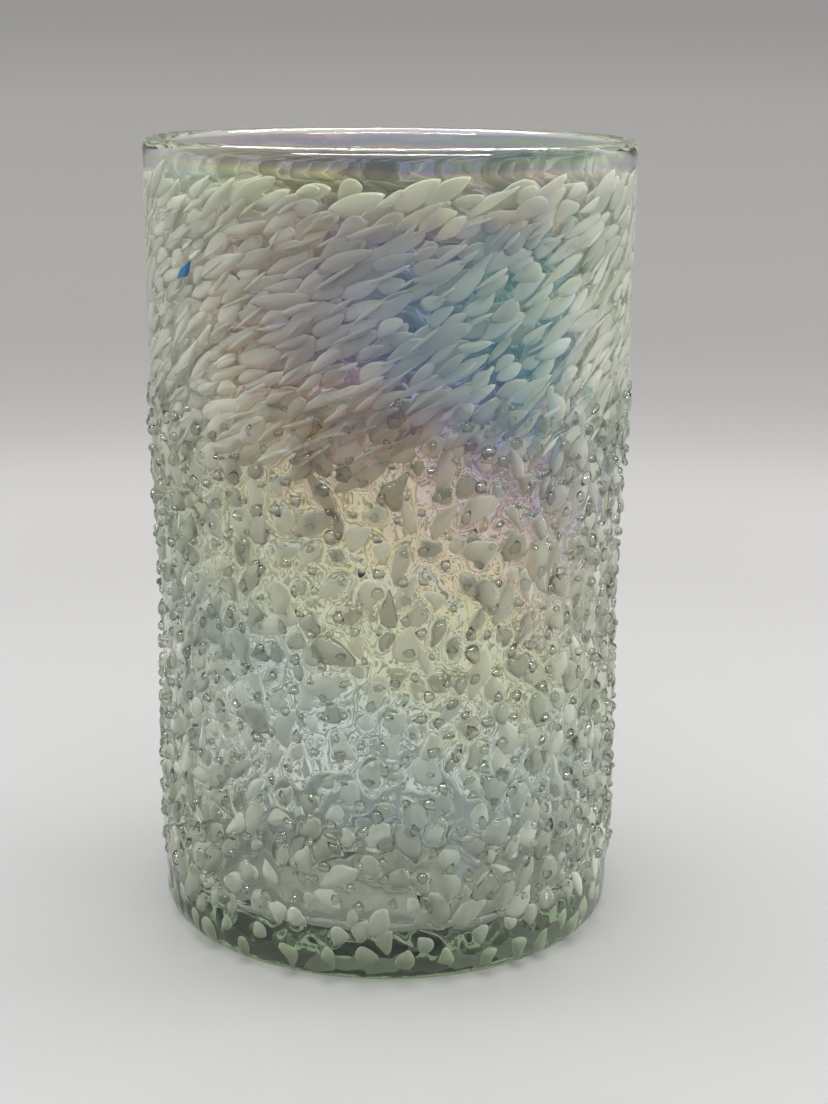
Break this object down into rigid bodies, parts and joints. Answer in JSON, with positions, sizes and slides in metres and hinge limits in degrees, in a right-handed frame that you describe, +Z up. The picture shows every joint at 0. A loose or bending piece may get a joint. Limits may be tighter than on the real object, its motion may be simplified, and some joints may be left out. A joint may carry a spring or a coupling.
{
  "type": "art glass vase",
  "caption": "Straight blown glass cylinder vase with a rounded lip, white opal chips trapped in the wall, a pebbled lower outside and an iridescent sheen.",
  "frame": {"origin": "centre of the foot on the surface that the vase stands on", "axes": "+Z up along the vase's axis, from the foot to the lip; X and Y across; -Y is the front"},
  "size_m": [0.0926, 0.0926, 0.152],
  "materials": {
    "clear_glass": "clear blown glass with a faint grey-green tint and a thin metal-oxide lustre that turns purple, blue, yellow and teal",
    "pebble_glass": "clear glossy beads of the same glass",
    "opal_white": "translucent milky white opal glass",
    "cobalt_blue": "deep cobalt blue glass",
    "dark_grain": "near-black glass grain",
    "broken_glass": "clear glass with a rough broken face"
  },
  "bodies": {
    "root": {"inner_gather": "clear_glass", "outer_casing": "clear_glass", "opal_chip_01": "opal_white", "opal_chip_02": "opal_white", "opal_chip_03": "opal_white", "opal_chip_04": "opal_white", "opal_chip_05": "opal_white", "opal_chip_06": "opal_white", "opal_chip_07": "opal_white", "opal_chip_08": "opal_white", "opal_chip_09": "opal_white", "opal_chip_10": "opal_white", "opal_chip_11": "opal_white", "opal_chip_12": "opal_white", "opal_chip_13": "opal_white", "opal_chip_14": "opal_white", "opal_chip_15": "opal_white", "opal_chip_16": "opal_white", "opal_chip_17": "opal_white", "opal_chip_18": "opal_white", "opal_chip_19": "opal_white", "opal_chip_20": "opal_white", "opal_chip_21": "opal_white", "opal_chip_22": "opal_white", "opal_chip_23": "opal_white", "opal_chip_24": "opal_white", "opal_chip_25": "opal_white", "opal_chip_26": "opal_white", "foot_chip_01": "opal_white", "foot_chip_02": "opal_white", "foot_chip_03": "opal_white", "foot_chip_04": "opal_white", "foot_chip_05": "opal_white", "foot_chip_06": "opal_white", "foot_chip_07": "opal_white", "foot_chip_08": "opal_white", "foot_chip_09": "opal_white", "clear_pebble_01": "pebble_glass", "clear_pebble_02": "pebble_glass", "clear_pebble_03": "pebble_glass", "clear_pebble_04": "pebble_glass", "clear_pebble_05": "pebble_glass", "clear_pebble_06": "pebble_glass", "clear_pebble_07": "pebble_glass", "clear_pebble_08": "pebble_glass", "clear_pebble_09": "pebble_glass", "clear_pebble_10": "pebble_glass", "clear_pebble_11": "pebble_glass", "clear_pebble_12": "pebble_glass", "clear_pebble_13": "pebble_glass", "clear_pebble_14": "pebble_glass", "clear_pebble_15": "pebble_glass", "blue_sliver": "cobalt_blue", "dark_speck": "dark_grain", "punty_scar": "broken_glass"}
  },
  "joints": []
}
